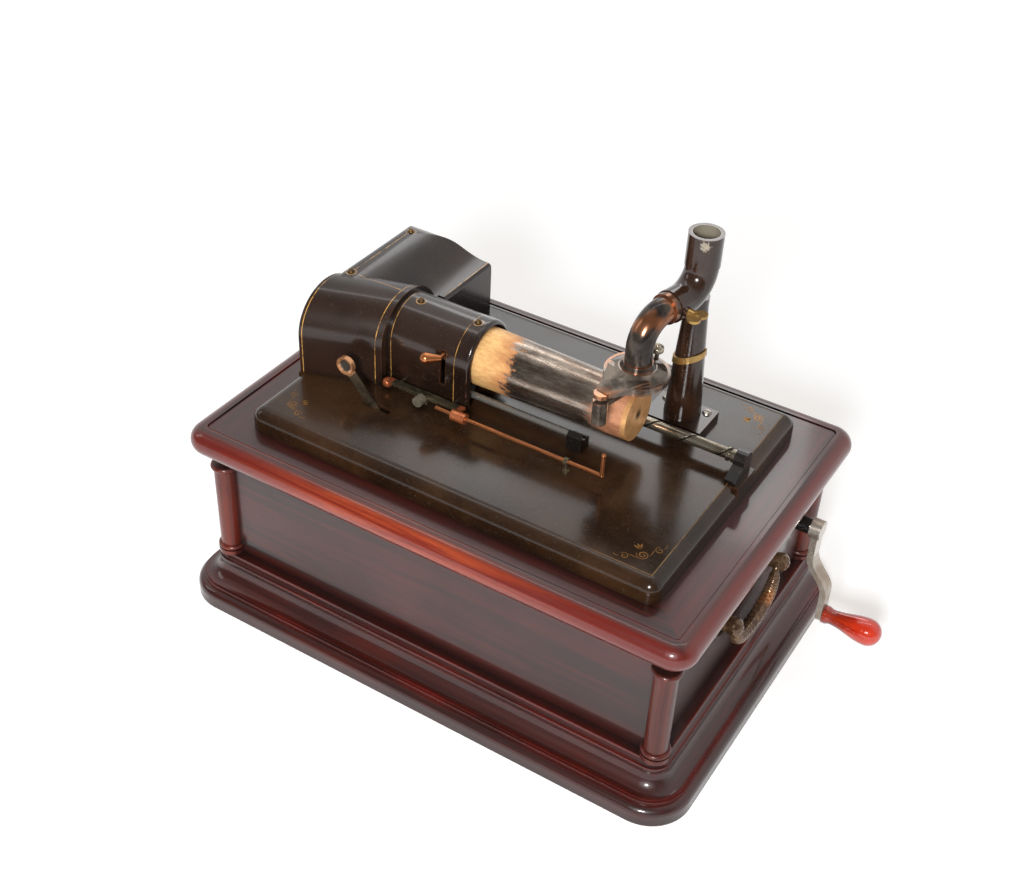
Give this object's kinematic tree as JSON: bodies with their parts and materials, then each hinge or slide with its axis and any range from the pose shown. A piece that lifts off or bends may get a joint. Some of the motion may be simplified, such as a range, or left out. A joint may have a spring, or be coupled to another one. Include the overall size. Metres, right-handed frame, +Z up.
{
  "type": "cylinder phonograph",
  "caption": "Hand-wound table cylinder phonograph: mahogany case with hinged lid and works, travelling mandrel, fixed sound box on a horn elbow, side handles and winding crank.",
  "frame": {"origin": "centre of the flat base on the table", "axes": "+X right along the front, +Y to the back, +Z up"},
  "size_m": [0.5133, 0.3216, 0.3435],
  "materials": {
    "mahogany": "dark red mahogany under old glossy varnish",
    "bed_enamel": "very dark brown glossy enamel with thin gold lines",
    "cover_enamel": "near-black brown glossy enamel, worn to copper at edges",
    "black_iron": "black, oily",
    "steel": "plain steel, darkened",
    "mandrel_nickel": "worn nickel plate, rubbed to copper",
    "brass": "aged brass",
    "copper": "worn copper plate",
    "bronze": "oxidised bronze, bright copper on worn edges",
    "belt_leather": "plain leather",
    "mica": "thin mica-like disc",
    "knob_varnish": "turned wood under red-brown varnish"
  },
  "bodies": {
    "case": {"plinth": "mahogany", "bottom_board": "mahogany", "front_wall": "mahogany", "back_wall": "mahogany", "left_wall": "mahogany", "right_wall": "mahogany", "corner_columns": "mahogany", "bead_moulding": "mahogany", "handle_plates": "bronze", "case_hinges": "brass"},
    "bail_right": {"right_handle": "bronze"},
    "bail_left": {"left_handle": "bronze"},
    "lid": {"lid_frame": "mahogany", "lid_hinges": "brass", "bedplate": "bed_enamel", "drive_cover": "cover_enamel", "shroud": "cover_enamel", "cover_screws": "steel", "shaft_bearings": "brass", "rod_bracket": "black_iron", "front_rod": "steel", "rod_block": "black_iron", "rear_rod": "steel", "rear_post": "steel", "stop_bar": "copper", "horn_column": "cover_enamel", "column_spring": "brass", "bed_screws": "steel", "motor_plates": "black_iron", "motor_pillars": "steel", "crank_sleeve": "black_iron", "belt": "belt_leather"},
    "carriage": {"carriage": "black_iron"},
    "mandrel": {"mandrel_shell": "mandrel_nickel", "mandrel_hub": "brass", "mandrel_end": "brass"},
    "shaft": {"drive_shaft": "steel", "drive_pulley": "brass"},
    "feed": {"feed_knob": "copper"},
    "stop": {"stop_rod": "copper"},
    "clamp": {"clamp_screw": "brass"},
    "lever": {"start_lever": "brass"},
    "elbow": {"horn_elbow": "cover_enamel"},
    "thumb": {"thumb_screw": "brass"},
    "reproducer": {"gooseneck": "bronze", "sound_box": "bronze", "diaphragm": "mica"},
    "weight": {"floating_weight": "bronze", "stylus": "steel"},
    "barrel": {"spring_barrel": "brass", "main_gear": "brass", "mainspring": "steel"},
    "winding": {"winding_arbor": "steel"},
    "crank": {"crank_shaft": "steel", "crank_arm": "steel"},
    "knob": {"crank_knob": "knob_varnish"},
    "middle": {"middle_arbor": "steel", "belt_pulley": "brass"},
    "governor_body": {"governor": "steel", "governor_weights": "brass"}
  },
  "joints": [
    {"name": "lid_hinge", "type": "hinge", "parent": "case", "child": "lid", "pos_m": [0, 0.14525, 0.138], "axis": [-1, 0, 0], "range_deg": [0, 65]},
    {"name": "right_handle_swing", "type": "hinge", "parent": "case", "child": "bail_right", "pos_m": [0.2035, 0.006, 0.097], "axis": [0, -1, 0], "range_deg": [0, 95]},
    {"name": "left_handle_swing", "type": "hinge", "parent": "case", "child": "bail_left", "pos_m": [-0.2035, 0.006, 0.097], "axis": [0, 1, 0], "range_deg": [0, 95]},
    {"name": "carriage_slide", "type": "slide", "parent": "lid", "child": "carriage", "axis": [1, 0, 0], "range_m": [0, 0.087]},
    {"name": "mandrel_spin", "type": "hinge", "parent": "carriage", "child": "mandrel", "pos_m": [0, 0.0015, 0.218], "axis": [1, 0, 0], "continuous": true},
    {"name": "shaft_spin", "type": "hinge", "parent": "lid", "child": "shaft", "pos_m": [0, 0.0015, 0.218], "axis": [1, 0, 0], "continuous": true},
    {"name": "barrel_spin", "type": "hinge", "parent": "lid", "child": "barrel", "pos_m": [0, 0.02006, 0.10508], "axis": [1, 0, 0], "continuous": true},
    {"name": "middle_spin", "type": "hinge", "parent": "lid", "child": "middle", "pos_m": [0, -0.02994, 0.10508], "axis": [1, 0, 0], "continuous": true},
    {"name": "governor_spin", "type": "hinge", "parent": "lid", "child": "governor_body", "pos_m": [0, -0.06066, 0.08357], "axis": [1, 0, 0], "continuous": true},
    {"name": "winding_turn", "type": "hinge", "parent": "lid", "child": "winding", "pos_m": [0, 0.02006, 0.10508], "axis": [1, 0, 0], "continuous": true},
    {"name": "crank_turn", "type": "hinge", "parent": "lid", "child": "crank", "pos_m": [0, 0.065, 0.127], "axis": [1, 0, 0], "continuous": true},
    {"name": "knob_spin", "type": "hinge", "parent": "crank", "child": "knob", "pos_m": [0.264, 0.065, 0.049], "axis": [1, 0, 0], "continuous": true},
    {"name": "start_lever_turn", "type": "hinge", "parent": "lid", "child": "lever", "pos_m": [-0.0877, -0.061, 0.168], "axis": [0, 1, 0], "range_deg": [0, 35]},
    {"name": "feed_drop", "type": "slide", "parent": "lid", "child": "feed", "axis": [0, 0, -1], "range_m": [0, 0.018]},
    {"name": "stop_rod_slide", "type": "slide", "parent": "lid", "child": "stop", "axis": [1, 0, 0], "range_m": [-0.008, 0.018]},
    {"name": "clamp_turn", "type": "hinge", "parent": "lid", "child": "clamp", "pos_m": [-0.069, -0.04, 0.1903], "axis": [0, -1, 0], "range_deg": [0, 180]},
    {"name": "elbow_swivel", "type": "hinge", "parent": "lid", "child": "elbow", "pos_m": [0.101, 0.062, 0.284], "axis": [0, 0, 1], "range_deg": [-12, 12]},
    {"name": "thumb_turn", "type": "hinge", "parent": "elbow", "child": "thumb", "pos_m": [0.09466, 0.0337, 0.296], "axis": [0.9758, -0.2186, 0], "range_deg": [0, 180]},
    {"name": "reproducer_swing", "type": "hinge", "parent": "elbow", "child": "reproducer", "pos_m": [0.09378, 0.0298, 0.296], "axis": [-0.2186, -0.9758, 0], "range_deg": [0, 80]},
    {"name": "weight_float", "type": "hinge", "parent": "reproducer", "child": "weight", "pos_m": [0.09204, 0.02199, 0.2453], "axis": [-0.9758, 0.2186, 0], "range_deg": [0, 2.5]}
  ],
  "couplings": [
    {"joint": "middle_spin", "follows": "barrel_spin", "ratio": -4},
    {"joint": "shaft_spin", "follows": "barrel_spin", "ratio": -4},
    {"joint": "mandrel_spin", "follows": "barrel_spin", "ratio": -4},
    {"joint": "governor_spin", "follows": "barrel_spin", "ratio": 16},
    {"joint": "crank_turn", "follows": "winding_turn", "ratio": -2.3333}
  ]
}
